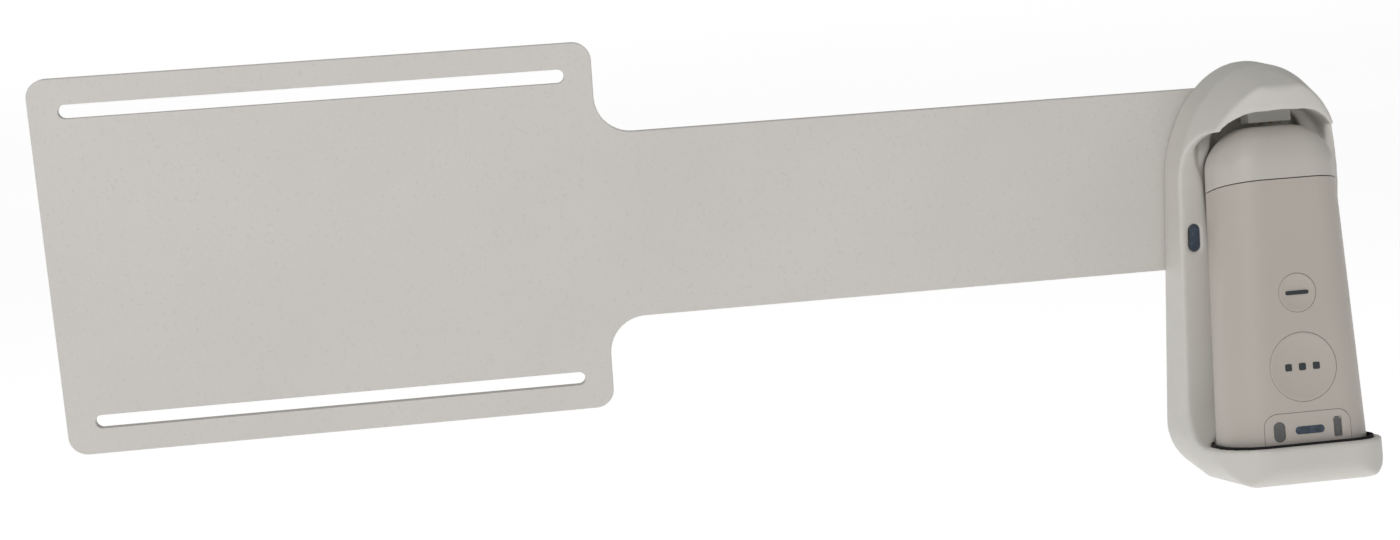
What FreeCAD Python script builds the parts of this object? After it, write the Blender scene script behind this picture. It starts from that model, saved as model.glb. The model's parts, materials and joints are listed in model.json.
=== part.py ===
import FreeCAD, Part
import math
import os

# Flat sheet-metal arm for the back of a monitor, with a charging cradle on its end
# and a small handheld code reader standing nose down in the cradle.
# Millimetres. +X runs along the arm, +Z is up, the front faces -Y.
# The origin is the centre of the slot pattern on the plate's back face.

V = FreeCAD.Vector

# ---- sheet-metal plate -------------------------------------------------------
PLATE_T = 3.0            # sheet thickness
PAD_HALF_W = 88.0        # half width of the wide end that carries the slots
PAD_HALF_H = 60.5        # half height of the wide end
SLOT_Z = 50.0            # slots sit 100 mm apart
SLOT_LEN = 158.0         # end to end
SLOT_W = 4.5             # clears an M4 screw
CORNER_R = 6.0
NECK_R = 12.0            # concave corner between the wide end and the arm
ARM_HALF_H = 30.6
ARM_END_X = 327.0

# ---- where the reader stands -------------------------------------------------
AXIS_X = 306.0           # middle plane of cradle and reader
LEAN_DEG = 11.1          # the reader leans, nose forward
NOSE_Y = -46.8           # middle of the nose, on the reader's own axis
NOSE_Z = -91.5

# ---- reader ------------------------------------------------------------------
RL = 113.1               # length, nose to tail
NOSE_HALF_W = 24.3       # half width at the nose
TAIL_HALF_W = 19.7       # half width projected to the tail
FRONT_V = -11.7          # front face, from the axis
BACK_V = 15.8            # back face, from the axis
FRONT_R = 12.5
BACK_R = 11.0
WALL = 2.0               # moulded wall of the reader
PART_V = 6.0             # parting plane between front and rear shell
SEAM_S = 94.0            # seam of the end cap, at the axis
SEAM_TILT = 8.0          # the seam is higher at the front
SEAM_GAP = 0.35
SCAN_BTN_S = 34.7        # scan button centre, up from the nose
SCAN_BTN_R = 11.0
FN_BTN_S = 58.6          # small button centre
FN_BTN_R = 6.1
BTN_GAP = 0.25
BTN_TRAVEL = 0.5
SCAN_DISH = 0.9          # depth of the hollow in each button's face
FN_DISH = 0.6
PANEL_TOP_S = 20.3       # indicator panel, from the cup rim up to here
PANEL_HALF_W = 14.6
ICON_S = 14.4            # row of the light bar and the two icons

# ---- cradle ------------------------------------------------------------------
CR_HALF_W = 27.7         # half width of the cradle
BACK_Y = -PLATE_T        # the cradle stands on the plate's front face
COVER_T = 2.0
HOOD_TOP_Z = 39.0
HOOD_CREST_Z = 33.5      # top of the hood's upright front face
HOOD_FALL_Y = -20.0      # where its top starts to fall towards the front
HOOD_NOSE_HALF_W = 22.0   # half width and height of its arch at the very front
HOOD_NOSE_RISE = 35.0
ARCH_Z = 0.0             # the sides draw in to the arch from here up
BOTTOM_R = 20.0
HOOD_FRONT_Y = -35.6
LIP_Z = 19.0             # underside of the hood where it meets the sides
VISOR_Z = 9.0            # centre and half sizes of the arched mouth under the hood
VISOR_HALF_W = 23.0
VISOR_RISE = 17.0
OPEN_TOP_Z = 25.6        # top of the channel behind the reader
HOOK_R = 21.0            # hollow curve from the cheeks into the hood
CUP_FLOOR_S = -0.9       # cup floor and bottom, along the reader's axis
CUP_BOTTOM_S = -2.8
RIM_S = 9.8              # cup rim, along the reader's axis
RIM_IN_V = -13.5         # inside and outside of the cup's front wall
RIM_OUT_V = -16.3
CHEEK_TOP = (-16.4, 1.0)       # (y, z) of the cheek strip at its ends
CHEEK_LOW = (-22.6, -70.0)
FLOOR_TOP = (-11.2, 5.0)       # (y, z) of the channel floor behind the reader
FLOOR_LOW = (-20.9, -76.5)
CHANNEL_HALF_W = 16.0    # channel between the two cheek strips
CUP_R = 15.0             # front corners of the cup, seen along the reader's axis
CUP_LOW_R = 10.5         # its lower corners, seen from the front
CUP_GAP = 1.1            # side gap between cup and nose
CUP_BACK_V = 18.6        # back of the cup's hollow
CAVITY_GAP = 1.0         # air round the reader
LENS_X = AXIS_X - 22.9   # status light on the left cheek
LENS_Z = -17.0
LENS_W = 3.6
LENS_H = 9.0

# ---- charging contacts -------------------------------------------------------
CONTACT_V = 2.05         # middle of the tail's flat crest
PIN_TIP_S = RL + 0.95
BLOCK_S = RL + 1.25
BLOCK_HALF_W = 7.2
BLOCK_FRONT_V = -1.2
BLOCK_BACK_V = 5.2
PIN_PITCH = 3.2
PIN_R = 0.7
PIN_FLANGE_R = 1.15
SPRING_R = 0.85          # to the middle of the wire
SPRING_WIRE_R = 0.15

# ---- fasteners ---------------------------------------------------------------
MOUNT_SCREW_X = 15.0     # plate to cradle screws, either side of the middle
MOUNT_SCREW_Z = 21.0
M3_R = 1.5
M3_CLEAR_R = 1.7
M3_HEAD_R = 2.9
INSERT_R = 2.2
INSERT_LEN = 4.0
COVER_SCREW_X = 21.0
COVER_SCREW_ZS = (-42.0, -80.0)


def tilt(shape):
    """Moves a shape from the reader's own axes (X across, Y back, Z up) to its place."""
    out = shape.copy()
    out.rotate(V(0, 0, 0), V(1, 0, 0), -LEAN_DEG)
    out.translate(V(AXIS_X, NOSE_Y, NOSE_Z))
    return out


def tilt_yz(v, s):
    """(y, z) in the row frame of a point given in the reader's own axes."""
    a = math.radians(LEAN_DEG)
    y = NOSE_Y + v * math.cos(a) + s * math.sin(a)
    z = NOSE_Z - v * math.sin(a) + s * math.cos(a)
    return (y, z)


def box(x0, x1, y0, y1, z0, z1):
    return Part.makeBox(x1 - x0, y1 - y0, z1 - z0, V(x0, y0, z0))


def cyl(r, length, base, axis):
    return Part.makeCylinder(r, length, V(*base), V(*axis))


def cone(r0, r1, length, base, axis):
    return Part.makeCone(r0, r1, length, V(*base), V(*axis))


def fuse(shapes):
    out = shapes[0]
    if len(shapes) > 1:
        out = out.multiFuse(shapes[1:])
    return out.removeSplitter()


def group(shapes):
    return Part.makeCompound(shapes)


def round_rect(x0, x1, y0, y1, radii, z):
    """Rounded rectangle wire at height z; radii are for (x0y0, x1y0, x1y1, x0y1)."""
    ra, rb, rc, rd = radii
    k = math.sqrt(0.5)
    pts = [V(x0 + ra, y0, z), V(x1 - rb, y0, z), V(x1, y0 + rb, z), V(x1, y1 - rc, z),
           V(x1 - rc, y1, z), V(x0 + rd, y1, z), V(x0, y1 - rd, z), V(x0, y0 + ra, z)]
    mids = [V(x1 - rb + k * rb, y0 + rb - k * rb, z), V(x1 - rc + k * rc, y1 - rc + k * rc, z),
            V(x0 + rd - k * rd, y1 - rd + k * rd, z), V(x0 + ra - k * ra, y0 + ra - k * ra, z)]
    edges = []
    for i in range(4):
        a, b, c = pts[2 * i], pts[2 * i + 1], pts[(2 * i + 2) % 8]
        edges.append(Part.makeLine(a, b))
        edges.append(Part.Arc(b, mids[i], c).toShape())
    return Part.Wire(edges)


def rounded_slab(x0, x1, y0, y1, r, z0, height):
    wire = round_rect(x0, x1, y0, y1, (r, r, r, r), z0)
    return Part.Face(wire).extrude(V(0, 0, height))


def front_slab(x0, x1, z0, z1, radii, y0, depth):
    """Rounded rectangle in the XZ plane, extruded from y0 by depth along +Y."""
    wire = round_rect(x0, x1, z0, z1, radii, 0.0)
    face = Part.Face(wire)
    face.rotate(V(0, 0, 0), V(1, 0, 0), 90)
    face.translate(V(0, y0, 0))
    return face.extrude(V(0, depth, 0))


# ---- plate -------------------------------------------------------------------
def plate_outline():
    """Closed outline of the flag-shaped plate in (x, z)."""
    w, h, a, e = PAD_HALF_W, PAD_HALF_H, ARM_HALF_H, ARM_END_X
    return [(-w, -h, CORNER_R), (w, -h, CORNER_R), (w, -a, NECK_R), (e, -a, CORNER_R),
            (e, a, CORNER_R), (w, a, NECK_R), (w, h, CORNER_R), (-w, h, CORNER_R)]


def rounded_polygon(corners, plane):
    """Wire of a polygon with arcs at its corners. plane maps (a, b) to a vector."""
    n = len(corners)
    starts, mids, ends = [], [], []
    for i in range(n):
        p = plane(corners[i][0], corners[i][1])
        before = plane(corners[i - 1][0], corners[i - 1][1])
        after = plane(corners[(i + 1) % n][0], corners[(i + 1) % n][1])
        u = (before - p).normalize()
        w = (after - p).normalize()
        half = u.getAngle(w) / 2
        r = corners[i][2]
        reach = r / math.tan(half)
        mid_dir = (u + w).normalize()
        starts.append(p + u * reach)
        ends.append(p + w * reach)
        mids.append(p + mid_dir * (r / math.sin(half) - r))
    edges = []
    for i in range(n):
        if corners[i][2] > 0:
            edges.append(Part.Arc(starts[i], mids[i], ends[i]).toShape())
        edges.append(Part.makeLine(ends[i], starts[(i + 1) % n]))
    return Part.Wire(edges)


def xz_plane(y):
    return lambda a, b: V(a, y, b)


def yz_plane(x):
    return lambda a, b: V(x, a, b)


def mount_screw_places():
    return [(AXIS_X + sx * MOUNT_SCREW_X, sz * MOUNT_SCREW_Z)
            for sx in (-1, 1) for sz in (-1, 1)]


def plate_slot(z):
    r = SLOT_W / 2
    half = SLOT_LEN / 2
    return front_slab(-half, half, z - r, z + r, (r * 0.999,) * 4, -PLATE_T - 1, PLATE_T + 2)


def csk_hole(x, z):
    """Countersunk clearance hole, its wide mouth in the plate's back face."""
    hole = cyl(M3_CLEAR_R, PLATE_T + 2, (x, 1, z), (0, -1, 0))
    mouth = cone(M3_HEAD_R + 0.3, M3_CLEAR_R, 1.5, (x, 0.0, z), (0, -1, 0))
    return hole.fuse(mouth)


def mount_plate():
    wire = rounded_polygon(plate_outline(), xz_plane(-PLATE_T))
    plate = Part.Face(wire).extrude(V(0, PLATE_T, 0))
    outer = [e for e in plate.Edges if abs(e.BoundBox.YLength) < 1e-6]
    plate = plate.makeChamfer(0.25, outer)
    for z in (SLOT_Z, -SLOT_Z):
        plate = plate.cut(plate_slot(z))
    for x, z in mount_screw_places():
        plate = plate.cut(csk_hole(x, z))
    return plate


# ---- reader's outer form -----------------------------------------------------
def half_width(s):
    return NOSE_HALF_W + (TAIL_HALF_W - NOSE_HALF_W) * s / RL


def section(s, ix, iy, grow, at=None):
    """One cross-section of the reader, drawn in by ix and iy and grown all round."""
    hw = half_width(s) - ix + grow
    y0 = FRONT_V + iy - grow
    y1 = BACK_V - iy + grow
    limit = 0.96 * min(hw, (y1 - y0) / 2)
    rf = min(FRONT_R + grow, limit)
    rb = min(BACK_R + grow, limit)
    return round_rect(-hw, hw, y0, y1, (rf, rf, rb, rb), s if at is None else at)


def loft(wires, ruled):
    return Part.makeLoft(wires, True, ruled)


def reader_form(grow):
    """Outer form of the reader, grown (or shrunk) by grow."""
    nose = [(0.0, 3.2, 3.2), (0.9, 1.6, 1.6), (2.2, 0.6, 0.6), (4.5, 0.0, 0.0)]
    tail_start = 100.0
    tail_rise = RL - tail_start
    nose_wires = [section(s, ix, iy, grow, s - grow * (1 - s / 4.5)) for s, ix, iy in nose]
    tail_wires = []
    for i in range(7):
        t = math.radians(15.0 * i)
        ix = 12.8 * (1 - math.cos(t))
        iy = 11.2 * (1 - math.cos(t))
        s = tail_start + tail_rise * math.sin(t)
        tail_wires.append(section(s, ix, iy, grow, s + grow * math.sin(t)))
    body = loft([nose_wires[-1], tail_wires[0]], True)
    return fuse([loft(nose_wires, False), body, loft(tail_wires, False)])


def seam_block(low, high):
    """Slab across the reader between two offsets from the tilted end-cap seam."""
    slab = box(-60, 60, -60, 60, low, high)
    slab.rotate(V(0, 0, 0), V(1, 0, 0), -SEAM_TILT)
    slab.translate(V(0, 0, SEAM_S))
    return slab


def reader_shell():
    return reader_form(0.0).cut(reader_form(-WALL))


def case_screw_places():
    return [(sx * x, s) for sx in (-1, 1) for x, s in ((15.6, 10.0), (13.2, 86.0))]


def case_boss(x, s, y0, y1, r):
    return cyl(r, y1 - y0, (x, y0, s), (0, 1, 0))


def panel_cut(depth):
    """Indicator panel on the front face: open at the nose, rounded at its top corners."""
    w = PANEL_HALF_W
    return front_slab(-w, w, 2.5, PANEL_TOP_S, (0.5, 0.5, 4.5, 4.5), FRONT_V - 1.0, 1.0 + depth)


def scanner_front_shell(shell):
    part = shell.common(box(-60, 60, -60, PART_V, -10, 120))
    part = part.cut(seam_block(-SEAM_GAP, 60))
    bosses = [case_boss(x, s, -8.4, PART_V, 3.0) for x, s in case_screw_places()]
    part = fuse([part] + bosses)
    for x, s in case_screw_places():
        part = part.cut(case_boss(x, s, -4.0, PART_V + 1, 1.0))
    for s, r in ((SCAN_BTN_S, SCAN_BTN_R), (FN_BTN_S, FN_BTN_R)):
        part = part.cut(cyl(r + BTN_GAP, 6, (0, FRONT_V - 1, s), (0, 1, 0)))
    part = part.cut(panel_cut(0.9))
    return part.cut(window_hole())


def scanner_rear_shell(shell):
    part = shell.common(box(-60, 60, PART_V, 60, -10, 120))
    part = part.cut(seam_block(-SEAM_GAP, 60))
    bosses = [case_boss(x, s, PART_V, 12.6, 3.2) for x, s in case_screw_places()]
    part = fuse([part] + bosses)
    for x, s in case_screw_places():
        part = part.cut(case_boss(x, s, PART_V - 1, 20, 1.25))
        part = part.cut(case_boss(x, s, 9.5, 20, 2.3))
    return part.cut(window_hole())


def scanner_end_cap(shell):
    cap = shell.common(seam_block(0, 60))
    ring = reader_form(-WALL - 0.15).cut(reader_form(-WALL - 1.4)).common(seam_block(-4, 0.5))
    keep_clear = [case_boss(x, s, -20, 20, 3.6) for x, s in case_screw_places()]
    web = reader_form(-WALL + 0.3).cut(reader_form(-WALL - 1.4)).common(seam_block(0.1, 1.6))
    cap = fuse([cap, ring.cut(fuse(keep_clear)), web])
    for x in pad_xs():
        cap = cap.cut(cyl(1.25, 6, (x, CONTACT_V, RL - 5), (0, 0, 1)))
    return cap


def pad_xs():
    return [PIN_PITCH * (i - 1.5) for i in range(4)]


def charge_pads():
    """Four round contact pads let into the tail's flat crest."""
    pads = []
    for x in pad_xs():
        face = cyl(1.2, 0.6, (x, CONTACT_V, RL - 0.65), (0, 0, 1))
        stem = cyl(0.6, 5.0, (x, CONTACT_V, RL - 5.4), (0, 0, 1))
        pads.append(face.fuse(stem))
    return group([p.removeSplitter() for p in pads])


def pad_carrier():
    """Moulded plug that holds the pads' stems under the end cap."""
    plug = rounded_slab(-7.2, 7.2, CONTACT_V - 2.4, CONTACT_V + 2.4, 1.0, RL - 5.0, 2.7)
    for x in pad_xs():
        plug = plug.cut(cyl(0.62, 8, (x, CONTACT_V, RL - 6), (0, 0, 1)))
    return plug


def case_screws():
    screws = []
    for x, s in case_screw_places():
        shank = cyl(0.98, 12.5, (x, -3.0, s), (0, 1, 0))
        head = cyl(2.1, 1.6, (x, 9.5, s), (0, 1, 0))
        socket = cyl(0.9, 0.9, (x, 10.3, s), (0, 1, 0))
        screws.append(shank.fuse(head).removeSplitter().cut(socket))
    return group(screws)


# ---- reader's buttons and front panel ---------------------------------------
def dished_button(s, r, dish):
    """Button cap with a slightly hollow face and a retaining flange behind the wall."""
    top = FRONT_V - 0.15
    cap = cyl(r, 2.9, (0, top, s), (0, 1, 0))
    rim = [e for e in cap.Edges if abs(e.BoundBox.YMax - top) < 0.01]
    cap = cap.makeFillet(0.3, [e for e in rim if e.BoundBox.YLength < 0.01])
    flange = cyl(r + 1.1, 0.8, (0, FRONT_V + WALL + 0.3, s), (0, 1, 0))
    ball_r = (r * r + dish * dish) / (2 * dish)
    hollow = Part.makeSphere(ball_r, V(0, top + dish - ball_r, s))
    return cap.fuse(flange).removeSplitter().cut(hollow)


def scan_button():
    button = dished_button(SCAN_BTN_S, SCAN_BTN_R, SCAN_DISH)
    for x in (-4.7, 0.0, 4.7):
        button = button.cut(mark_slab(x, SCAN_BTN_S, 1.15, 1.15, 0.45, 1.0))
    return button


def mark_slab(x, s, half_w, half_h, r, depth):
    y0 = FRONT_V - 1.0
    return front_slab(x - half_w, x + half_w, s - half_h, s + half_h, (r,) * 4, y0, 1.0 + depth)


def mark_insert(x, s, half_w, half_h, r, y0, depth):
    return front_slab(x - half_w, x + half_w, s - half_h, s + half_h, (r,) * 4, y0, depth)


def scan_button_marks():
    return group([mark_insert(x, SCAN_BTN_S, 1.15, 1.15, 0.45, FRONT_V + 0.57, 0.43)
                  for x in (-4.7, 0.0, 4.7)])


def minus_button():
    button = dished_button(FN_BTN_S, FN_BTN_R, FN_DISH)
    return button.cut(mark_slab(0, FN_BTN_S, 3.9, 0.65, 0.6, 1.0))


def minus_button_mark():
    return mark_insert(0, FN_BTN_S, 3.9, 0.65, 0.6, FRONT_V + 0.2, 0.8)


def indicator_panel():
    """Smooth panel let into the front shell, with pockets for the light bar and icons."""
    w = PANEL_HALF_W - 0.15
    top = PANEL_TOP_S - 0.15
    panel = front_slab(-w, w, 2.6, top, (0.5, 0.5, 4.4, 4.4), FRONT_V + 0.05, 0.83)
    panel = panel.common(reader_form(0.0))
    panel = panel.cut(mark_slab(0.6, ICON_S, 4.9, 1.3, 1.25, 2.0))
    panel = panel.cut(mark_slab(-9.6, ICON_S, 2.0, 3.3, 1.9, 0.5))
    return panel.cut(mark_slab(10.0, ICON_S + 0.2, 1.4, 3.3, 0.5, 0.5))


def indicator_bar():
    return mark_insert(0.6, ICON_S, 4.85, 1.25, 1.2, FRONT_V + 0.1, 0.78)


def link_icon():
    """Link symbol: an oval badge with two raised curved waves and a dot."""
    x, low = -9.6, ICON_S - 1.6
    y0 = FRONT_V + 0.11
    badge = mark_insert(x, ICON_S, 1.95, 3.25, 1.85, FRONT_V + 0.25, 0.25)
    raised = [cyl(0.45, 0.15, (x, y0, low), (0, 1, 0))]
    for r in (1.5, 2.6):
        ring = cyl(r, 0.15, (x, y0, low), (0, 1, 0))
        ring = ring.cut(cyl(r - 0.45, 1, (x, FRONT_V, low), (0, 1, 0)))
        raised.append(ring.common(box(x - 1.3, x + 1.3, -20, 0, low + 0.6, low + 4)))
    return fuse([badge] + raised)


def battery_icon():
    """Battery symbol: a small cell outline with its tip and a charge bar."""
    x = 10.0
    outer = mark_insert(x, ICON_S - 0.1, 1.35, 2.75, 0.45, FRONT_V + 0.2, 0.3)
    hollow = mark_insert(x, ICON_S - 0.1, 0.9, 2.3, 0.2, FRONT_V + 0.1, 0.25)
    tip = mark_insert(x, ICON_S + 2.95, 0.6, 0.4, 0.15, FRONT_V + 0.2, 0.3)
    charge = mark_insert(x, ICON_S - 0.9, 0.6, 1.2, 0.15, FRONT_V + 0.22, 0.2)
    return fuse([outer.cut(hollow), tip, charge])


# ---- reader's inside ---------------------------------------------------------
def window_hole():
    return rounded_slab(-12.0, 12.0, -4.5, 9.0, 3.0, -3, 6)


def scan_window():
    outer = rounded_slab(-11.9, 11.9, -4.4, 8.9, 2.9, 0.35, 1.75)
    flange = rounded_slab(-12.6, 12.6, -5.4, 9.9, 3.2, 2.1, 0.9)
    return fuse([outer, flange])


def scanner_pcb():
    board = front_slab(-15.4, 15.4, 20.0, 89.0, (2.0,) * 4, -5.6, 1.2)
    for x, s in case_screw_places():
        board = board.cut(case_boss(x, s, -20, 20, 3.8))
    return board


def tact_switches():
    """Two dome switches on the board, one under each button."""
    out = []
    for s in (SCAN_BTN_S, FN_BTN_S):
        base = box(-2.6, 2.6, -6.8, -5.6, s - 2.6, s + 2.6)
        plunger = cyl(1.3, 0.5, (0, -7.3, s), (0, 1, 0))
        out.append(base.fuse(plunger).removeSplitter())
    return group(out)


def scan_engine():
    body = box(-10.5, 10.5, -3.2, 7.6, 5.4, 16.4)
    body = body.makeFillet(0.8, [e for e in body.Edges if e.BoundBox.ZLength > 5])
    for x, r in ((-5.5, 2.6), (3.5, 3.4)):
        body = body.cut(cyl(r, 3.0, (x, 2.2, 3.9), (0, 0, 1)))
    return body


def engine_lenses():
    lenses = []
    for x, r in ((-5.5, 2.5), (3.5, 3.3)):
        barrel = cyl(r, 1.2, (x, 2.2, 5.7), (0, 0, 1))
        ball = Part.makeSphere(r * 1.6, V(x, 2.2, 5.0 + r * 1.6))
        lenses.append(barrel.common(ball))
    return group(lenses)


def engine_bracket():
    """Bent metal bracket that wraps the scan engine and reaches to the board."""
    back = box(-11.9, 11.9, 7.8, 8.8, 5.6, 18.4)
    top = box(-11.9, 11.9, -4.2, 8.8, 17.4, 18.4)
    sides = [box(sx * 11.4 - 0.5, sx * 11.4 + 0.5, -3.2, 8.8, 5.6, 18.4) for sx in (-1, 1)]
    tab = box(-8, 8, -4.2, -3.2, 17.4, 26.0)
    return fuse([back, top, tab] + sides)


def battery():
    cell = cyl(7.6, 56.0, (0, 5.0, 27.0), (0, 0, 1))
    return cell.makeFillet(0.8, [e for e in cell.Edges if e.Closed and e.Length > 20])


def battery_lead():
    lead = Part.makeCylinder(0.6, 8.0, V(3.0, 4.0, 83.2), V(0, 0, 1))
    plug = box(1.0, 5.0, -4.2, 4.6, 84.2, 87.2)
    return lead.common(box(0, 6, 0, 10, 80, 86)).fuse(plug).removeSplitter()


def buzzer():
    can = cyl(4.5, 3.2, (-12.0, -4.2, 77.0), (0, 1, 0))
    return can.cut(cyl(0.8, 2, (-12.0, -1.6, 77.0), (0, 1, 0)))


def vibration_motor():
    can = cyl(2.2, 9.0, (13.5, -1.9, 56.0), (0, 0, 1))
    shaft = cyl(0.4, 1.5, (13.5, -1.9, 65.0), (0, 0, 1))
    weight = cyl(1.8, 2.6, (13.5, -1.9, 66.5), (0, 0, 1))
    weight = weight.cut(box(11.0, 13.3, -5, 2, 66, 70))
    return fuse([can, shaft, weight])


# ---- cradle ------------------------------------------------------------------
def floor_y(z):
    """Depth of the channel floor at height z."""
    y0, z0 = FLOOR_TOP
    y1, z1 = FLOOR_LOW
    if z >= z0:
        return y0
    return y0 + (y1 - y0) * (z0 - z) / (z0 - z1)


def cradle_side_profile():
    """Side view of the cradle: hood, cheek, cup, as corners with radii."""
    bottom_back = bottom_z(BACK_Y)
    cup_low = tilt_yz(RIM_OUT_V, CUP_BOTTOM_S)
    cup_high = tilt_yz(RIM_OUT_V, RIM_S)
    rim_back = rim_z(CHEEK_LOW[0])
    lip = (HOOD_FRONT_Y, LIP_Z)
    return [(BACK_Y, bottom_back, 0.6), (cup_low[0], cup_low[1], 6.0),
            (cup_high[0], cup_high[1], 0.9), (CHEEK_LOW[0], rim_back, 13.0),
            (CHEEK_TOP[0], LIP_Z, HOOK_R - 9.0), (lip[0], lip[1], 0.8),
            (HOOD_FRONT_Y, HOOD_CREST_Z, 2.2), (HOOD_FALL_Y, HOOD_TOP_Z, 36.0),
            (BACK_Y, HOOD_TOP_Z, 0.6)]


def bottom_z(y):
    a = math.radians(LEAN_DEG)
    return NOSE_Z + (CUP_BOTTOM_S - (y - NOSE_Y) * math.sin(a)) / math.cos(a)


def rim_z(y):
    a = math.radians(LEAN_DEG)
    return NOSE_Z + (RIM_S - (y - NOSE_Y) * math.sin(a)) / math.cos(a)


def cradle_front_outline(inset):
    """Front view of the cradle: half an ellipse on top, round corners at the bottom."""
    w = CR_HALF_W - inset
    r = BOTTOM_R - inset
    top = HOOD_TOP_Z - inset
    low = bottom_z(BACK_Y) + inset
    centre = V(AXIS_X, ARCH_Z, 0)
    arch = Part.Ellipse(V(AXIS_X, top, 0), V(AXIS_X + w, ARCH_Z, 0), centre)
    edges = [arch.toShape(-math.pi / 2, math.pi / 2),
             Part.makeLine(V(AXIS_X - w + r, low, 0), V(AXIS_X + w - r, low, 0))]
    for side in (-1, 1):
        x = AXIS_X + side * w
        middle = V(x - side * r * (1 - math.sqrt(0.5)), low + r * (1 - math.sqrt(0.5)), 0)
        edges.append(Part.makeLine(V(x, ARCH_Z, 0), V(x, low + r, 0)))
        edges.append(Part.Arc(V(x, low + r, 0), middle, V(x - side * r, low, 0)).toShape())
    return Part.Wire(Part.__sortEdges__(edges))


def front_prism(wire, y0, depth):
    face = Part.Face(wire)
    face.rotate(V(0, 0, 0), V(1, 0, 0), 90)
    face.translate(V(0, y0, 0))
    return face.extrude(V(0, depth, 0))


def cup_corners():
    """What lies outside the cup's rounded front corners, in the reader's own axes."""
    w = CR_HALF_W
    block = box(-w - 5, w + 5, RIM_OUT_V - 12, RIM_OUT_V + CUP_R, -10.0, 45.0)
    keep = rounded_slab(-w, w, RIM_OUT_V, RIM_OUT_V + 3 * CUP_R, CUP_R, -10.0, 55.0)
    return block.cut(keep)


def cup_outline():
    """The cup seen along the reader's front: soft lower corners."""
    w = CR_HALF_W
    radii = (CUP_LOW_R, CUP_LOW_R, 1.0, 1.0)
    return front_slab(-w, w, CUP_BOTTOM_S, 200.0, radii, -60.0, 160.0)


def hood_prism(inset, z0, z1):
    """Plan view of the hood: straight sides, then half an ellipse in front of the cheeks."""
    w = CR_HALF_W - inset
    start = CHEEK_TOP[0]
    sides = box(AXIS_X - w, AXIS_X + w, start, 5.0, z0, z1)
    curve = Part.Ellipse(V(AXIS_X, start, z0), w, start - HOOD_FRONT_Y - inset)
    nose = Part.Face(Part.Wire(curve.toShape())).extrude(V(0, 0, z1 - z0))
    return sides.fuse(nose)


def arch_ring(y, half_w, rise):
    """Half an ellipse standing upright at depth y, closed along its base."""
    centre = V(AXIS_X, ARCH_Z, 0)
    arch = Part.Ellipse(V(AXIS_X, ARCH_Z + rise, 0), V(AXIS_X + half_w, ARCH_Z, 0), centre)
    base = Part.makeLine(V(AXIS_X - half_w, ARCH_Z, 0), V(AXIS_X + half_w, ARCH_Z, 0))
    wire = Part.Wire(Part.__sortEdges__([arch.toShape(-math.pi / 2, math.pi / 2), base]))
    wire.rotate(V(0, 0, 0), V(1, 0, 0), 90)
    wire.translate(V(0, y, 0))
    return wire


def hood_taper():
    """The hood's arch, smaller towards the front."""
    back = arch_ring(CHEEK_TOP[0] + 0.5, CR_HALF_W + 0.2, HOOD_TOP_Z + 0.2)
    front = arch_ring(HOOD_FRONT_Y - 1.0, HOOD_NOSE_HALF_W, HOOD_NOSE_RISE)
    return loft([back, front], True)


def hood_trim():
    """What lies outside the hood's rounded, tapering form, above the cheek strips."""
    block = box(AXIS_X - 40, AXIS_X + 40, -60, CHEEK_TOP[0], CHEEK_TOP[1], 60.0)
    return block.cut(hood_prism(0.0, -7.0, 61.0).common(hood_taper()))


def cradle_form():
    profile = rounded_polygon(cradle_side_profile(), yz_plane(AXIS_X - 40))
    form = Part.Face(profile).extrude(V(80, 0, 0))
    form = form.common(front_prism(cradle_front_outline(0.0), -90, 90))
    form = form.cut(hood_trim())
    return form.common(tilt(cup_outline())).cut(tilt(cup_corners()))


def rear_back_profile(ahead):
    """Side view of everything in front of the channel floor, moved back by ahead."""
    y_top = FLOOR_TOP[0] + ahead
    y_low = FLOOR_LOW[0] + ahead
    low = FLOOR_LOW[1]
    return [(-90.0, OPEN_TOP_Z, 0.0), (-90.0, low, 0.0), (y_low, low, 3.0),
            (y_top, FLOOR_TOP[1], 30.0), (y_top, OPEN_TOP_Z, 8.0)]


def channel():
    """Deep channel between the cheek strips, arched at the top."""
    profile = rounded_polygon(rear_back_profile(0.0), yz_plane(AXIS_X - 30))
    run = Part.Face(profile).extrude(V(60, 0, 0))
    w = CHANNEL_HALF_W
    wire = round_rect(AXIS_X - w, AXIS_X + w, FLOOR_LOW[1], OPEN_TOP_Z, (1, 1, 13.5, 13.5), 0.0)
    return run.common(front_prism(wire, -90, 90))


def cap_opening():
    """Wider mouth of the channel round the end cap, tapering into the cheek strips."""
    w, n = 21.6, CHANNEL_HALF_W
    corners = [(AXIS_X - n, -9.0, 6.0), (AXIS_X + n, -9.0, 6.0), (AXIS_X + w, 8.0, 10.0),
               (AXIS_X + w, OPEN_TOP_Z, 15.0), (AXIS_X - w, OPEN_TOP_Z, 15.0),
               (AXIS_X - w, 8.0, 10.0)]
    wire = rounded_polygon(corners, xz_plane(-90.0))
    return Part.Face(wire).extrude(V(0, 74.0, 0))


def visor_mouth():
    """Arched mouth under the hood that the end cap swings out through."""
    centre = V(AXIS_X, VISOR_Z, 0)
    curve = Part.Ellipse(centre, VISOR_HALF_W, VISOR_RISE)
    mouth = front_prism(Part.Wire(curve.toShape()), -90.0, 90.0 + CHEEK_TOP[0] - 1.0)
    return mouth.common(box(AXIS_X - 40, AXIS_X + 40, -90, 0, VISOR_Z, 60))


def cup_cavity(gap, low_s):
    """Hollow of the cup, in the reader's own axes."""
    w = NOSE_HALF_W + gap
    radii = (CUP_R - 2.8, CUP_R - 2.8, 14.0, 14.0)
    wire = round_rect(-w, w, RIM_IN_V + CUP_GAP - gap, CUP_BACK_V - CUP_GAP + gap, radii, low_s)
    hollow = Part.Face(wire).extrude(V(0, 0, 14.0 - low_s))
    return hollow.common(front_slab(-w, w, low_s, 60.0, (6.0, 6.0, 1.0, 1.0), -60.0, 160.0))


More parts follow.
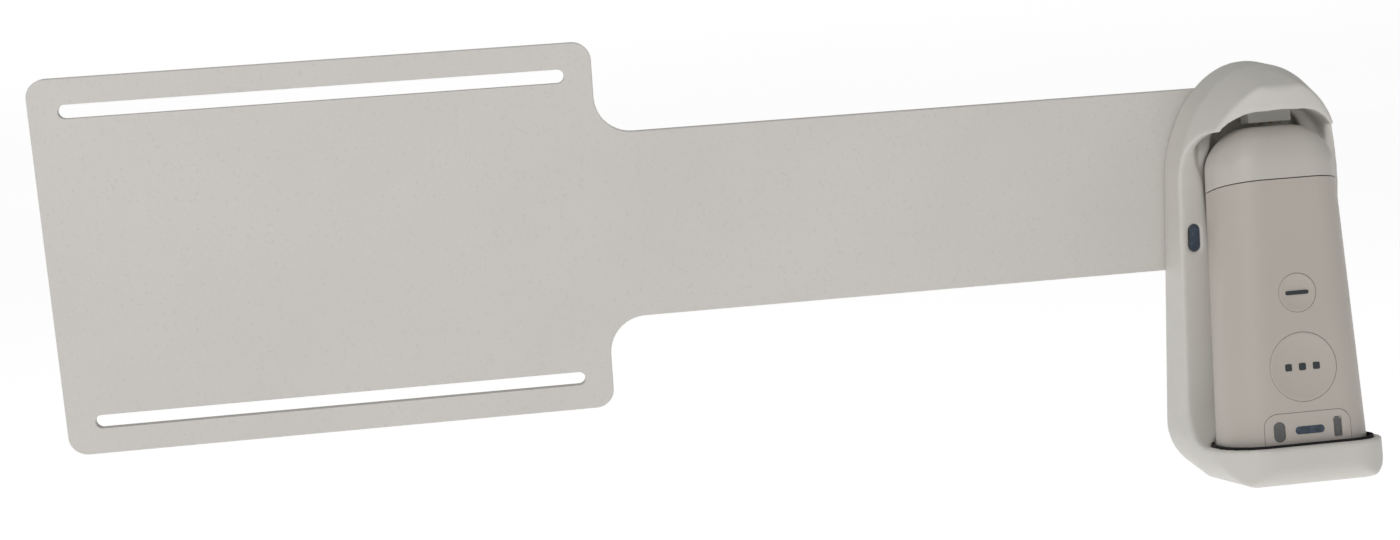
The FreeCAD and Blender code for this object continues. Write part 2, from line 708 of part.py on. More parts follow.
def electronics_pocket():
    """Hollow behind the channel floor, open at the back for the cover."""
    low = [(1.0, 38.0, 0.0), (1.0, -92.0, 0.0), (FLOOR_LOW[0] + 2.4, -92.0, 2.0),
           (FLOOR_LOW[0] + 2.4, FLOOR_LOW[1], 2.0), (FLOOR_TOP[0] + 2.2, FLOOR_TOP[1], 2.0),
           (FLOOR_TOP[0] + 2.2, 38.0, 0.0)]
    profile = rounded_polygon(low, yz_plane(AXIS_X - 40))
    pocket = Part.Face(profile).extrude(V(80, 0, 0))
    pocket = pocket.common(front_prism(cradle_front_outline(2.8), -60, 60))
    bosses = [cyl(3.6, 20, (x, -20.0, z), (0, 1, 0)) for x, z in mount_screw_places()]
    bosses += [cyl(2.8, 20, (x, -24.0, z), (0, 1, 0)) for x, z in cover_screw_places()]
    return pocket.cut(fuse(bosses)).fuse(rebate(0.0))


def rebate(gap):
    """Shallow recess that the back cover drops into."""
    return front_prism(cradle_front_outline(1.3 + gap), BACK_Y - COVER_T, COVER_T)


def hood_hollow():
    hollow = box(AXIS_X - 13, AXIS_X + 13, -27.0, -7.0, 28.4, 34.4)
    hollow = hollow.common(hood_prism(3.0, 20.0, 45.0))
    return hollow.common(front_prism(cradle_front_outline(3.2), -60, 60))


def cover_screw_places():
    return [(AXIS_X + sx * COVER_SCREW_X, z) for sx in (-1, 1) for z in COVER_SCREW_ZS]


def lens_slot(gap, y0, depth):
    w, h = LENS_W / 2 + gap, LENS_H / 2 + gap
    return front_slab(LENS_X - w, LENS_X + w, LENS_Z - h, LENS_Z + h, (w * 0.98,) * 4, y0, depth)


def usb_opening():
    """Hole for the power socket in the right side wall."""
    hole = box(AXIS_X + 22, AXIS_X + 40, -11.6, -7.4, -66.4, -57.2)
    return hole.makeFillet(1.6, [e for e in hole.Edges if e.BoundBox.XLength > 10])


def block_body(gap):
    return box(-BLOCK_HALF_W - gap, BLOCK_HALF_W + gap, BLOCK_FRONT_V - gap,
               BLOCK_BACK_V + gap, BLOCK_S, 126.0)


def cradle_shell():
    shell = cradle_form()
    shell = shell.cut(channel())
    shell = shell.cut(cap_opening())
    shell = shell.cut(visor_mouth())
    shell = shell.cut(tilt(reader_form(CAVITY_GAP)))
    shell = shell.cut(tilt(cup_cavity(CUP_GAP, CUP_FLOOR_S)))
    shell = shell.cut(electronics_pocket())
    shell = shell.cut(hood_hollow())
    shell = shell.cut(tilt(block_body(0.15)))
    shell = shell.cut(lens_slot(0.1, -60.0, 55.0))
    shell = shell.cut(usb_opening())
    for x, z in mount_screw_places():
        shell = shell.cut(cyl(INSERT_R + 0.02, INSERT_LEN, (x, BACK_Y - COVER_T, z), (0, -1, 0)))
    for x, z in cover_screw_places():
        shell = shell.cut(cyl(1.02, 8.0, (x, BACK_Y - COVER_T, z), (0, -1, 0)))
    return shell


def cradle_back_cover():
    cover = rebate(0.1)
    for x, z in mount_screw_places():
        cover = cover.cut(cyl(M3_CLEAR_R, 9, (x, 1, z), (0, -1, 0)))
    for x, z in cover_screw_places():
        hole = cyl(1.3, 9, (x, 1, z), (0, -1, 0))
        mouth = cone(2.3, 1.3, 1.2, (x, BACK_Y, z), (0, -1, 0))
        cover = cover.cut(hole.fuse(mouth))
    vents = [box(AXIS_X - 8, AXIS_X + 8, -10, 0, z, z + 1.2) for z in (-72.0, -69.0, -66.0)]
    return cover.cut(group(vents))


def csk_screw(x, y, z, r, head_r, head_h, length):
    """Countersunk screw driven along -Y, its head flush with the plane y."""
    shank = cyl(r, length, (x, y, z), (0, -1, 0))
    head = cone(head_r, r, head_h, (x, y, z), (0, -1, 0))
    arm = head_r * 0.55
    slot = head_h * 0.6
    cross = box(x - arm, x + arm, y - slot, y + 1, z - 0.25, z + 0.25)
    cross = cross.fuse(box(x - 0.25, x + 0.25, y - slot, y + 1, z - arm, z + arm))
    return shank.fuse(head).removeSplitter().cut(cross)


def cradle_mount_screws():
    return group([csk_screw(x, -0.1, z, M3_R, M3_HEAD_R, 1.4, 8.4)
                  for x, z in mount_screw_places()])


def cradle_inserts():
    out = []
    for x, z in mount_screw_places():
        body = cyl(INSERT_R, INSERT_LEN - 0.1, (x, BACK_Y - COVER_T, z), (0, -1, 0))
        body = body.cut(cyl(M3_R + 0.05, 10, (x, 0, z), (0, -1, 0)))
        for k in (1.2, 2.4):
            ring = cyl(INSERT_R + 1, 0.3, (x, BACK_Y - COVER_T - k, z), (0, -1, 0))
            core = cyl(INSERT_R - 0.25, 0.3, (x, BACK_Y - COVER_T - k, z), (0, -1, 0))
            body = body.cut(ring.cut(core))
        out.append(body)
    return group(out)


def cradle_cover_screws():
    return group([csk_screw(x, BACK_Y - 0.1, z, 1.0, 2.1, 1.1, 8.6)
                  for x, z in cover_screw_places()])


def cradle_pcb():
    board = front_slab(AXIS_X - 17.0, AXIS_X + 24.4, -74.0, -8.0, (2.0,) * 4, -7.8, 1.2)
    ear = front_slab(AXIS_X - 24.5, AXIS_X - 16.0, -30.0, -10.0, (1.0,) * 4, -7.8, 1.2)
    board = board.fuse(ear).removeSplitter()
    keep = [cyl(4.0, 20, (x, -20.0, z), (0, 1, 0)) for x, z in mount_screw_places()]
    keep += [cyl(3.2, 20, (x, -24.0, z), (0, 1, 0)) for x, z in cover_screw_places()]
    return board.cut(fuse(keep))


def status_lens():
    """Light pipe from the board to the left cheek strip."""
    k = (CHEEK_LOW[0] - CHEEK_TOP[0]) / (CHEEK_LOW[1] - CHEEK_TOP[1])
    face_y = CHEEK_TOP[0] + k * (LENS_Z - CHEEK_TOP[1])
    pipe = lens_slot(0.0, face_y - 0.6, -9.4 - face_y + 0.6)
    return pipe.common(cradle_front_skin(0.15))


def cradle_front_skin(proud):
    """Everything behind the cheek strips' own plane, moved forward by proud."""
    y0, z0 = CHEEK_TOP
    y1, z1 = CHEEK_LOW
    corners = [(y0 - proud, z0, 0.0), (y1 - proud, z1, 0.0), (5.0, z1, 0.0), (5.0, z0, 0.0)]
    wire = rounded_polygon(corners, yz_plane(AXIS_X - 40))
    return Part.Face(wire).extrude(V(80, 0, 0))


def status_led():
    return box(LENS_X - 1.4, LENS_X + 1.4, -9.0, -7.8, LENS_Z - 0.8, LENS_Z + 0.8)


def usb_socket():
    """Metal shell of the power socket with its tongue."""
    x1 = AXIS_X + CR_HALF_W - 0.4
    outer = box(x1 - 8.0, x1, -11.2, -7.8, -66.0, -57.6)
    outer = outer.makeFillet(1.3, [e for e in outer.Edges if e.BoundBox.XLength > 5])
    inner = box(x1 - 7.0, x1 + 1, -10.9, -8.1, -65.7, -57.9)
    inner = inner.makeFillet(1.1, [e for e in inner.Edges if e.BoundBox.XLength > 5])
    tongue = box(x1 - 7.4, x1 - 1.0, -9.85, -9.15, -64.8, -58.8)
    return outer.cut(inner).fuse(tongue).removeSplitter()


def board_chips():
    chips = [box(AXIS_X - 6, AXIS_X + 6, -9.0, -7.8, -48, -36),
             box(AXIS_X + 10, AXIS_X + 15, -8.8, -7.8, -54, -49),
             box(AXIS_X - 9, AXIS_X + 9, -9.4, -7.8, -18, -13)]
    return group(chips)


def contact_ribbon():
    """Flat cable from the board up to the contact block."""
    w = 2.6
    y0, y1, top = -8.7, -8.2, 33.2
    path = [(y1, -12.2, 0.0), (y1, top, 1.6), (-22.5, top, 0.0), (-22.5, top - 0.5, 0.0),
            (y0, top - 0.5, 1.1), (y0, -12.2, 0.0)]
    wire = rounded_polygon(path, yz_plane(AXIS_X - w))
    return Part.Face(wire).extrude(V(2 * w, 0, 0))


def contact_block():
    block = block_body(0.0)
    low = [e for e in block.Edges if e.BoundBox.ZMax < BLOCK_S + 0.01]
    block = block.makeFillet(0.5, low)
    flange = box(-9.0, 9.0, BLOCK_FRONT_V - 1.2, BLOCK_BACK_V + 1.2, 124.0, 126.0)
    block = block.fuse(flange).removeSplitter()
    for x in pad_xs():
        block = block.cut(cyl(PIN_R + 0.06, 12, (x, CONTACT_V, BLOCK_S - 1), (0, 0, 1)))
        block = block.cut(cyl(PIN_FLANGE_R + 0.1, 6.8, (x, CONTACT_V, BLOCK_S + 2.0), (0, 0, 1)))
    return block


def contact_pins():
    pins = []
    for x in pad_xs():
        base = (x, CONTACT_V, PIN_TIP_S)
        shaft = cyl(PIN_R, BLOCK_S + 2.6 - PIN_TIP_S, base, (0, 0, 1))
        tip = [e for e in shaft.Edges if e.Closed and e.BoundBox.ZMax < PIN_TIP_S + 0.01]
        shaft = shaft.makeFillet(0.45, tip)
        flange = cyl(PIN_FLANGE_R, 0.6, (x, CONTACT_V, BLOCK_S + 2.1), (0, 0, 1))
        stem = cyl(0.45, 1.6, (x, CONTACT_V, BLOCK_S + 2.5), (0, 0, 1))
        pins.append(fuse([shaft, flange, stem]))
    return group(pins)


def contact_springs():
    springs = []
    low, high = BLOCK_S + 2.9, BLOCK_S + 8.6
    for x in pad_xs():
        helix = Part.makeHelix(0.95, high - low, SPRING_R)
        helix.translate(V(x, CONTACT_V, low))
        start = helix.Edges[0].valueAt(helix.Edges[0].FirstParameter)
        ring = Part.Wire(Part.makeCircle(SPRING_WIRE_R, start, V(0, 1, 0.18)))
        springs.append(Part.Wire(helix).makePipeShell([ring], True, True))
    return group(springs)


def cup_liner():
    """Black rubber liner of the cup: floor pad, thin wall, and a lip above the rim."""
    outer = cup_cavity(CUP_GAP - 0.03, CUP_FLOOR_S + 0.02)
    inner = cup_cavity(CUP_GAP - 0.35, CUP_FLOOR_S + 0.35)
    liner = outer.cut(inner)
    slab = box(-60, 60, -60, 13.0, CUP_FLOOR_S - 1, RIM_S + 0.7)
    return liner.common(slab)


def reader_nodes():
    shell = reader_shell()
    nodes = {
        "scanner_front_shell": scanner_front_shell(shell),
        "scanner_rear_shell": scanner_rear_shell(shell),
        "scanner_end_cap": scanner_end_cap(shell),
        "scanner_case_screws": case_screws(),
        "charge_pads": charge_pads(),
        "charge_pad_carrier": pad_carrier(),
        "scan_button": scan_button(),
        "scan_button_marks": scan_button_marks(),
        "minus_button": minus_button(),
        "minus_button_mark": minus_button_mark(),
        "indicator_panel": indicator_panel(),
        "indicator_bar": indicator_bar(),
        "link_icon": link_icon(),
        "battery_icon": battery_icon(),
        "scan_window": scan_window(),
        "scan_engine": scan_engine(),
        "engine_lenses": engine_lenses(),
        "engine_bracket": engine_bracket(),
        "scanner_pcb": scanner_pcb(),
        "tact_switches": tact_switches(),
        "scanner_battery": battery(),
        "battery_lead": battery_lead(),
        "buzzer": buzzer(),
        "vibration_motor": vibration_motor(),
        "contact_block": contact_block(),
        "contact_pins": contact_pins(),
        "contact_springs": contact_springs(),
        "cup_liner": cup_liner(),
    }
    return {name: tilt(shape) for name, shape in nodes.items()}


def cradle_nodes():
    return {
        "mount_plate": mount_plate(),
        "cradle_mount_screws": cradle_mount_screws(),
        "cradle_inserts": cradle_inserts(),
        "cradle_shell": cradle_shell(),
        "cradle_back_cover": cradle_back_cover(),
        "cradle_cover_screws": cradle_cover_screws(),
        "cradle_pcb": cradle_pcb(),
        "board_chips": board_chips(),
        "status_lens": status_lens(),
        "status_led": status_led(),
        "usb_socket": usb_socket(),
        "contact_ribbon": contact_ribbon(),
    }


os.makedirs("parts", exist_ok=True)
for name, shape in {**cradle_nodes(), **reader_nodes()}.items():
    shape.exportStep("parts/" + name + ".step")
    print(name, shape.isValid(), len(shape.Solids), round(shape.Volume, 1))
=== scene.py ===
import json
import math

import bmesh
import bpy
from mathutils import Matrix, Vector


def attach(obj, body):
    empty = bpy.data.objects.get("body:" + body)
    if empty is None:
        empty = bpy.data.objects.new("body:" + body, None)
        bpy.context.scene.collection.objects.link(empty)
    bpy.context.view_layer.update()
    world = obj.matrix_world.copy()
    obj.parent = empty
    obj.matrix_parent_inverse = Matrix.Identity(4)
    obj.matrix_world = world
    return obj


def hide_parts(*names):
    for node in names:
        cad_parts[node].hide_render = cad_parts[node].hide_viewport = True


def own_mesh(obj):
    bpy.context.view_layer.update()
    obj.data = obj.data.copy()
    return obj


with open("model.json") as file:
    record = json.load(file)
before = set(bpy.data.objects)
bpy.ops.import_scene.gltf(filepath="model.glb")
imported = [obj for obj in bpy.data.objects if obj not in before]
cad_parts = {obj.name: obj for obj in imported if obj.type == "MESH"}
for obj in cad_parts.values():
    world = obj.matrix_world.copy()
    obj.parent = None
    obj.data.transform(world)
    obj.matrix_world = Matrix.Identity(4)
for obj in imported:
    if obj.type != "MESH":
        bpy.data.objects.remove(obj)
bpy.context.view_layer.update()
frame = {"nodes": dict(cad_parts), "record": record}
NODES = frame["nodes"]
SLOT_OF = {s["node"]: s["material_slot"] for s in frame["record"]["subparts"]}

# ---- sizes, in metres and radians ---------------------------------------------
# The reader leans, nose forward. Its own axes are x across it, v back through it and s up from
# the middle of its nose.
LEAN = math.radians(11.1)
NOSE = Vector((0.306, -0.0468, -0.0915))
FACE_V = -0.0117                # the reader's front face

SHELL_VOXEL = 0.00065           # grid of the cradle's re-meshed copy
SHELL_SMOOTHING = 8             # rounds of smoothing on that grid
SHELL_KEEP = 0.35               # share of its faces that is kept

SCAN_BUTTON = {"up": 0.0347, "r": 0.01116, "dish": 0.00085}
MINUS_BUTTON = {"up": 0.0586, "r": 0.00626, "dish": 0.00056}
BUTTON_PROUD = 0.00012          # the rim stands this far off the reader's face
BUTTON_RIM_R = 0.0003
BUTTON_SKIRT = 0.0019           # depth of the skirt behind the reader's face
BUTTON_SIDES = 72
DISH_ROWS = 12
RIM_ROWS = 5

CONTACTS = 4
CONTACT_PITCH = 0.0032
CONTACT_V = 0.00205
SPRING_LOW = 0.1174
SPRING_HIGH = 0.1229
SPRING_R = 0.00085              # to the middle of the wire
SPRING_WIRE_R = 0.00014
SPRING_TURNS = 6
SPRING_STEPS = 24               # per turn
SPRING_SIDES = 8

FLOOR_Z = -0.42
FLOOR_HALF_W = 14.0
FLOOR_FAR_Y = 3.2               # the floor curls up behind this line
CURL_R = 1.4
CURL = math.radians(50.0)
CURL_ROWS = 8
FLOOR_GLOW = 0.68
WORLD_LIGHT = 0.28

CAMERA_PLACE = (0.0410, -0.6337, 0.1107)
CAMERA_TURN = math.radians(7.06)        # to the right of straight ahead, +Y
CAMERA_DIP = math.radians(11.352)       # below the horizon
CAMERA_ROLL = math.radians(3.424)       # right side low
CAMERA_LENS = 50.55                     # millimetres, on a sensor 36 wide


# ---- materials ----------------------------------------------------------------
class Shader:
    """A principled material with helpers for its procedural detail. Scales are per metre."""

    def __init__(self, name, color, rough, metal=0.0, spec=0.5, coat=0.0):
        self.mat = bpy.data.materials.new(name)
        self.mat.use_nodes = True
        self.nodes = self.mat.node_tree.nodes
        self.links = self.mat.node_tree.links
        self.bsdf = self.nodes["Principled BSDF"]
        self.bsdf.inputs["Base Color"].default_value = (*color, 1.0)
        self.bsdf.inputs["Roughness"].default_value = rough
        self.bsdf.inputs["Metallic"].default_value = metal
        self.bsdf.inputs["Specular IOR Level"].default_value = spec
        self.bsdf.inputs["Coat Weight"].default_value = coat
        self.color = color
        self.coord = self.nodes.new("ShaderNodeTexCoord").outputs["Object"]
        self.height = None

    def noise(self, scale, detail=2.0, rough=0.5, stretch=None):
        source = self.coord
        if stretch:
            mapping = self.nodes.new("ShaderNodeMapping")
            mapping.inputs["Scale"].default_value = stretch
            self.links.new(source, mapping.inputs["Vector"])
            source = mapping.outputs["Vector"]
        tex = self.nodes.new("ShaderNodeTexNoise")
        tex.inputs["Scale"].default_value = scale
        tex.inputs["Detail"].default_value = detail
        tex.inputs["Roughness"].default_value = rough
        self.links.new(source, tex.inputs["Vector"])
        return tex.outputs["Fac"]

    def cells(self, scale):
        tex = self.nodes.new("ShaderNodeTexVoronoi")
        tex.inputs["Scale"].default_value = scale
        self.links.new(self.coord, tex.inputs["Vector"])
        return tex.outputs["Distance"]

    def ranged(self, value, low, high, start=0.3, stop=0.7):
        """Value between start and stop spread over low to high."""
        node = self.nodes.new("ShaderNodeMapRange")
        node.inputs["From Min"].default_value = start
        node.inputs["From Max"].default_value = stop
        node.inputs["To Min"].default_value = low
        node.inputs["To Max"].default_value = high
        self.links.new(value, node.inputs["Value"])
        return node.outputs["Result"]

    def mottle(self, value, other):
        """Base colour drifts towards another colour where value is high."""
        mix = self.nodes.new("ShaderNodeMix")
        mix.data_type = "RGBA"
        base = self.bsdf.inputs["Base Color"]
        if base.is_linked:
            self.links.new(base.links[0].from_socket, mix.inputs["A"])
        else:
            mix.inputs["A"].default_value = (*self.color, 1.0)
        mix.inputs["B"].default_value = (*other, 1.0)
        self.links.new(value, mix.inputs["Factor"])
        self.links.new(mix.outputs["Result"], base)
        return self

    def gloss(self, value, low, high):
        """Roughness wanders between low and high."""
        self.links.new(self.ranged(value, low, high), self.bsdf.inputs["Roughness"])
        return self

    def bump(self, value, metres, strength=1.0):
        """Relief of the given height, on top of any relief added before it."""
        node = self.nodes.new("ShaderNodeBump")
        node.inputs["Distance"].default_value = metres
        node.inputs["Strength"].default_value = strength
        self.links.new(value, node.inputs["Height"])
        if self.height is not None:
            self.links.new(self.height, node.inputs["Normal"])
        self.height = node.outputs["Normal"]
        self.links.new(self.height, self.bsdf.inputs["Normal"])
        return self


def shade(color, k):
    return tuple(min(1.0, c * k) for c in color)


def powder_coat(name, color):
    """Fine-textured powder coat: orange peel, a fine grain, and faint dust specks."""
    s = Shader(name, color, 0.52, spec=0.42)
    s.mottle(s.ranged(s.noise(14.0, 3.0), 0.0, 1.0), shade(color, 0.955))
    s.mottle(s.ranged(s.noise(900.0, 1.0), 0.0, 0.5, 0.62, 0.72), shade(color, 0.86))
    s.gloss(s.noise(160.0, 3.0), 0.46, 0.62)
    s.bump(s.noise(620.0, 1.5), 0.00012, 0.55)
    return s.bump(s.noise(3200.0, 1.0), 0.00003, 0.6).mat


def moulded(name, color, rough, depth=0.00003):
    """Moulded plastic with a fine spark-eroded texture and slow colour drift."""
    s = Shader(name, color, rough, spec=0.45)
    s.mottle(s.ranged(s.noise(22.0, 2.0), 0.0, 1.0), shade(color, 0.97))
    s.gloss(s.noise(210.0, 3.0), rough - 0.05, rough + 0.07)
    s.bump(s.cells(2600.0), depth, 0.45)
    return s.bump(s.noise(420.0, 2.0), 0.00004, 0.25).mat


def metal(name, color, rough):
    """Metal with drawn scratches along one way and small tone changes."""
    brush = (1.0, 1.0, 9.0)
    s = Shader(name, color, rough, metal=1.0)
    s.mottle(s.ranged(s.noise(300.0, 3.0), 0.0, 1.0), shade(color, 0.8))
    s.gloss(s.noise(900.0, 2.0, 0.6, brush), rough - 0.08, rough + 0.12)
    return s.bump(s.noise(2600.0, 2.0, 0.6, brush), 0.00002, 0.35).mat


def smoked(name, color, rough):
    """Polished coloured plastic with tiny dust pits: lenses, wrap and film."""
    s = Shader(name, color, rough, spec=0.6, coat=0.6)
    s.mottle(s.ranged(s.noise(500.0, 2.0), 0.0, 1.0), shade(color, 2.2))
    s.gloss(s.noise(700.0, 3.0), rough, rough + 0.12)
    return s.bump(s.noise(1500.0, 1.0), 0.00001, 0.3).mat


def rubber(name, color):
    """Dull rubber with a dusty bloom."""
    s = Shader(name, color, 0.8, spec=0.25)
    s.mottle(s.ranged(s.noise(120.0, 4.0), 0.0, 1.0), shade(color, 2.4))
    s.gloss(s.noise(300.0, 2.0), 0.7, 0.9)
    return s.bump(s.noise(2400.0, 2.0), 0.00005, 0.6).mat


def circuit(name, color):
    """Solder resist over copper tracks, which run along one way."""
    tracks = (1.0, 1.0, 6.0)
    s = Shader(name, color, 0.35, spec=0.5, coat=0.3)
    s.mottle(s.ranged(s.noise(260.0, 0.0, 0.5, tracks), 0.0, 1.0, 0.5, 0.54), shade(color, 1.9))
    s.gloss(s.noise(800.0, 2.0), 0.28, 0.45)
    return s.bump(s.noise(260.0, 0.0, 0.5, tracks), 0.00004, 0.4).mat


def tinted_glass(name, color, alpha):
    """Polished tinted window with faint smears."""
    s = Shader(name, color, 0.06, spec=0.6, coat=0.5)
    s.bsdf.inputs["Alpha"].default_value = alpha
    s.mottle(s.ranged(s.noise(60.0, 2.0), 0.0, 1.0), shade(color, 1.6))
    return s.gloss(s.noise(900.0, 2.0), 0.04, 0.14).mat


MATERIALS = {
    "powder_coat": powder_coat("powder_coat", (0.600, 0.578, 0.545)),
    "cradle_plastic": moulded("cradle_plastic", (0.590, 0.570, 0.530), 0.50),
    "scanner_plastic": moulded("scanner_plastic", (0.470, 0.430, 0.388), 0.42),
    "cap_plastic": moulded("cap_plastic", (0.520, 0.492, 0.450), 0.42),
    "button_plastic": moulded("button_plastic", (0.462, 0.422, 0.378), 0.46),
    "panel_plastic": moulded("panel_plastic", (0.480, 0.440, 0.398), 0.34, depth=0.00001),
    "mark_grey": moulded("mark_grey", (0.030, 0.036, 0.042), 0.40),
    "icon_grey": moulded("icon_grey", (0.115, 0.118, 0.115), 0.42),
    "smoked_lens": smoked("smoked_lens", (0.020, 0.032, 0.050), 0.16),
    "contact_plastic": moulded("contact_plastic", (0.400, 0.395, 0.370), 0.40),
    "zinc_steel": metal("zinc_steel", (0.62, 0.62, 0.64), 0.34),
    "socket_steel": metal("socket_steel", (0.55, 0.55, 0.57), 0.28),
    "brass": metal("brass", (0.72, 0.50, 0.22), 0.32),
    "gold_contact": metal("gold_contact", (0.90, 0.66, 0.28), 0.20),
    "black_rubber": rubber("black_rubber", (0.010, 0.010, 0.011)),
    "board_green": circuit("board_green", (0.012, 0.085, 0.035)),
    "chip_black": moulded("chip_black", (0.020, 0.020, 0.022), 0.45),
    "led_body": smoked("led_body", (0.75, 0.72, 0.55), 0.2),
    "window_glass": tinted_glass("window_glass", (0.045, 0.018, 0.022), 0.72),
    "lens_glass": tinted_glass("lens_glass", (0.03, 0.035, 0.06), 0.85),
    "engine_black": moulded("engine_black", (0.018, 0.018, 0.020), 0.50),
    "bracket_steel": metal("bracket_steel", (0.58, 0.58, 0.60), 0.36),
    "cell_wrap": smoked("cell_wrap", (0.03, 0.10, 0.32), 0.22),
    "ribbon_film": smoked("ribbon_film", (0.42, 0.18, 0.03), 0.25),
    "white_nylon": moulded("white_nylon", (0.72, 0.71, 0.67), 0.45),
}


# ---- helpers --------------------------------------------------------------------
def dress(obj, slot):
    if not obj.material_slots:
        obj.data.materials.append(MATERIALS[slot])
    for place in obj.material_slots:
        place.material = MATERIALS[slot]


def linked(name, data):
    """New object in the scene around a mesh, light or camera."""
    obj = bpy.data.objects.new(name, data)
    bpy.context.scene.collection.objects.link(obj)
    return obj


def mesh_object(name, mesh):
    """New object from a bmesh. Its triangles and quads are smooth, its end faces flat."""
    data = bpy.data.meshes.new(name)
    mesh.to_mesh(data)
    mesh.free()
    for face in data.polygons:
        face.use_smooth = len(face.vertices) <= 4
    return linked(name, data)


def bridge(mesh, rings):
    """Quads between each closed ring of vertices and the next."""
    for a, b in zip(rings, rings[1:]):
        for k in range(len(a)):
            n = (k + 1) % len(a)
            mesh.faces.new((a[k], b[k], b[n], a[n]))


def stand_in(obj, node, body):
    """obj is shown instead of a CAD node, on that node's body and in its material."""
    dress(obj, SLOT_OF[node])
    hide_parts(node)
    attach(obj, body)


def reader_point(x, v, s):
    """The frame's point at the reader's own x, v and s."""
    return NOSE + Vector((x, v * math.cos(LEAN) + s * math.sin(LEAN),
                          s * math.cos(LEAN) - v * math.sin(LEAN)))


# ---- the cradle's moulded edges -------------------------------------------------
def soften(node, body):
    """Copy of a CAD part with its hard edges rounded like a moulding's."""
    source = NODES[node]
    copy = linked(node + "_moulded", source.data.copy())
    copy.matrix_world = source.matrix_world.copy()
    grid = copy.modifiers.new("grid", "REMESH")
    grid.mode = "VOXEL"
    grid.voxel_size = SHELL_VOXEL
    grid.use_smooth_shade = True
    ease = copy.modifiers.new("ease", "SMOOTH")
    ease.factor = 0.5
    ease.iterations = SHELL_SMOOTHING
    fewer = copy.modifiers.new("fewer", "DECIMATE")
    fewer.ratio = SHELL_KEEP
    bpy.context.view_layer.update()
    graph = bpy.context.evaluated_depsgraph_get()
    mesh = bpy.data.meshes.new_from_object(copy.evaluated_get(graph))
    copy.modifiers.clear()
    copy.data = mesh
    for face in mesh.polygons:
        face.use_smooth = True
    stand_in(copy, node, body)


# ---- the reader's buttons -------------------------------------------------------
def dished_rows(r, dish):
    """Profile of a button, as (v, radius) from its middle out to the end of its skirt."""
    crest = FACE_V - BUTTON_PROUD
    rows = [(crest + dish, 0.0)]
    for i in range(1, DISH_ROWS + 1):
        t = i / DISH_ROWS
        rows.append((crest + dish - dish * t ** 3, (r - BUTTON_RIM_R) * t))
    for i in range(1, RIM_ROWS + 1):
        a = math.pi / 2 * i / RIM_ROWS
        rows.append((crest + BUTTON_RIM_R * (1 - math.cos(a)),
                     r - BUTTON_RIM_R + BUTTON_RIM_R * math.sin(a)))
    return rows + [(FACE_V + BUTTON_SKIRT, r)]


def dished_face(name, node, body, up, r, dish):
    """Soft button cap: shallow hollow, rounded rim, and a skirt that nearly fills its hole."""
    rows = dished_rows(r, dish)
    mesh = bmesh.new()
    centre = mesh.verts.new(reader_point(0.0, rows[0][0], up))
    rings = []
    for v, radius in rows[1:]:
        ring = []
        for k in range(BUTTON_SIDES):
            a = 2 * math.pi * k / BUTTON_SIDES
            point = reader_point(radius * math.cos(a), v, up + radius * math.sin(a))
            ring.append(mesh.verts.new(point))
        rings.append(ring)
    for k in range(BUTTON_SIDES):
        mesh.faces.new((centre, rings[0][k], rings[0][(k + 1) % BUTTON_SIDES]))
    bridge(mesh, rings)
    mesh.faces.new(list(reversed(rings[-1])))
    bmesh.ops.recalc_face_normals(mesh, faces=mesh.faces)
    stand_in(mesh_object(name, mesh), node, body)


# ---- contact springs ------------------------------------------------------------
def spring(mesh, x):
    """Round-wire coil with flat ends, at one place across the reader."""
    rows = SPRING_TURNS * SPRING_STEPS
    rings = []
    for i in range(rows + 1):
        a = 2 * math.pi * i / SPRING_STEPS
        s = SPRING_LOW + (SPRING_HIGH - SPRING_LOW) * i / rows
        ring = []
        for k in range(SPRING_SIDES):
            b = 2 * math.pi * k / SPRING_SIDES
            reach = SPRING_R + SPRING_WIRE_R * math.cos(b)
            point = reader_point(x + reach * math.cos(a), CONTACT_V + reach * math.sin(a),
                                 s + SPRING_WIRE_R * math.sin(b))
            ring.append(mesh.verts.new(point))
        rings.append(ring)
    bridge(mesh, rings)
    mesh.faces.new(rings[0])
    mesh.faces.new(list(reversed(rings[-1])))


def contact_coils():
    """One spring above each charging contact."""
    mesh = bmesh.new()
    for k in range(CONTACTS):
        spring(mesh, (k - (CONTACTS - 1) / 2) * CONTACT_PITCH)
    bmesh.ops.recalc_face_normals(mesh, faces=mesh.faces)
    obj = mesh_object("contact_coils", mesh)
    stand_in(obj, "contact_springs", "bracket")
    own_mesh(obj)


# ---- floor, light, camera -------------------------------------------------------
def floor():
    """Pale floor whose far edge curls up a little behind the object."""
    line = [(-FLOOR_HALF_W, FLOOR_Z), (FLOOR_FAR_Y, FLOOR_Z)]
    for i in range(1, CURL_ROWS + 1):
        a = CURL * i / CURL_ROWS
        line.append((FLOOR_FAR_Y + CURL_R * math.sin(a), FLOOR_Z + CURL_R * (1 - math.cos(a))))
    mesh = bmesh.new()
    rows = []
    for y, z in line:
        rows.append([mesh.verts.new((x, y, z)) for x in (-FLOOR_HALF_W, FLOOR_HALF_W)])
    for a, b in zip(rows, rows[1:]):
        mesh.faces.new((a[0], a[1], b[1], b[0]))
    obj = mesh_object("floor", mesh)
    s = Shader("floor_paper", (0.90, 0.90, 0.90), 0.9, spec=0.1)
    s.bsdf.inputs["Emission Color"].default_value = (1.0, 1.0, 1.0, 1.0)
    s.bsdf.inputs["Emission Strength"].default_value = FLOOR_GLOW
    s.mottle(s.ranged(s.noise(1.5, 2.0), 0.0, 1.0), (0.885, 0.885, 0.885))
    obj.data.materials.append(s.mat)


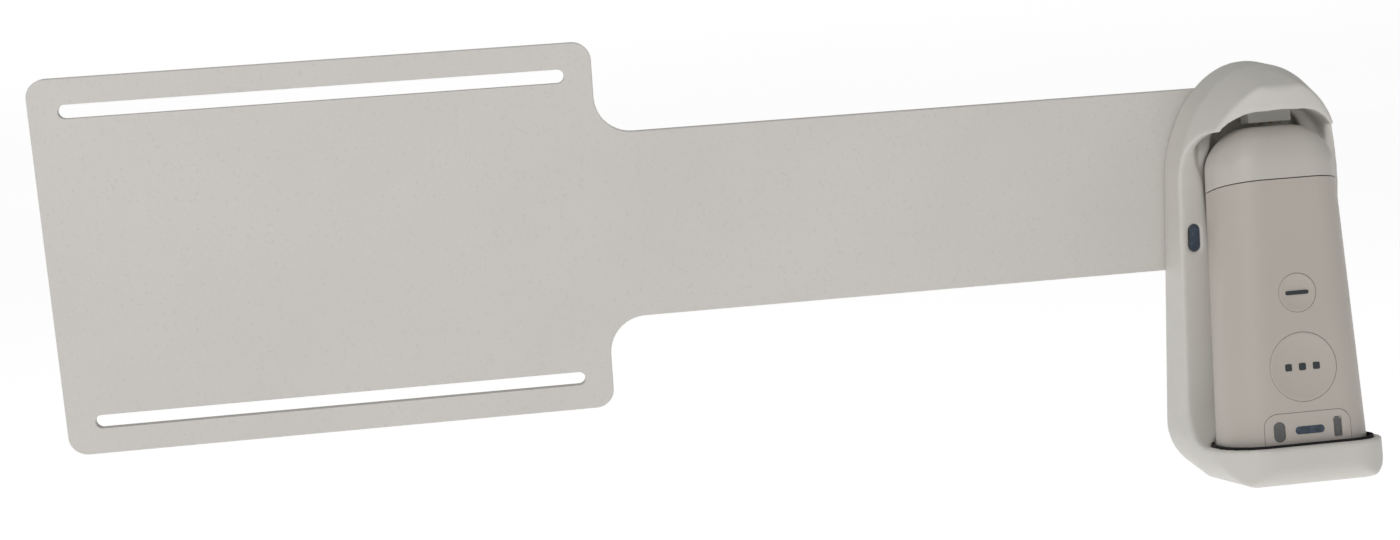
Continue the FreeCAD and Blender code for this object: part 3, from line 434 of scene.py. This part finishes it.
def soft_light(name, place, target, size, watts, color=(1, 1, 1)):
    """Rectangular area light at place, aimed at target."""
    data = bpy.data.lights.new(name, "AREA")
    data.shape = "RECTANGLE"
    data.size, data.size_y = size
    data.energy = watts
    data.color = color
    obj = linked(name, data)
    obj.location = place
    aim = Vector(target) - Vector(place)
    obj.rotation_mode = "QUATERNION"
    obj.rotation_quaternion = aim.to_track_quat("-Z", "Y")


def studio():
    """Soft key from the upper left, weak warm fill from the right, light from above."""
    floor()
    soft_light("key", (-0.60, -1.25, 0.95), (0.15, 0.0, 0.0), (0.9, 0.9), 9.7)
    soft_light("fill", (1.3, -1.2, 0.25), (0.2, 0.0, 0.0), (1.2, 1.2), 0.4, (1.0, 0.95, 0.90))
    soft_light("top", (0.2, -0.1, 1.6), (0.15, 0.0, 0.0), (1.6, 1.2), 4.0)
    world = bpy.data.worlds.new("studio")
    world.use_nodes = True
    background = world.node_tree.nodes["Background"]
    background.inputs["Color"].default_value = (1, 1, 1, 1)
    background.inputs["Strength"].default_value = WORLD_LIGHT
    bpy.context.scene.world = world
    bpy.context.scene.view_settings.view_transform = "Standard"


def camera():
    """Camera in front of the plate and a little above it, looking slightly right and down."""
    data = bpy.data.cameras.new("camera")
    data.sensor_fit = "HORIZONTAL"
    data.sensor_width = 36.0
    data.lens = CAMERA_LENS
    data.clip_start, data.clip_end = 0.01, 100.0
    obj = linked("camera", data)
    turn = Matrix.Rotation(-CAMERA_TURN, 4, "Z")
    tilt = Matrix.Rotation(math.pi / 2 - CAMERA_DIP, 4, "X")
    roll = Matrix.Rotation(-CAMERA_ROLL, 4, "Z")
    obj.matrix_world = Matrix.Translation(CAMERA_PLACE) @ turn @ tilt @ roll
    bpy.context.scene.camera = obj


for node_name, node_object in NODES.items():
    dress(node_object, SLOT_OF[node_name])
soften("cradle_shell", "bracket")
dished_face("scan_button_face", "scan_button", "scan_key", **SCAN_BUTTON)
dished_face("minus_button_face", "minus_button", "minus_key", **MINUS_BUTTON)
contact_coils()
studio()
camera()
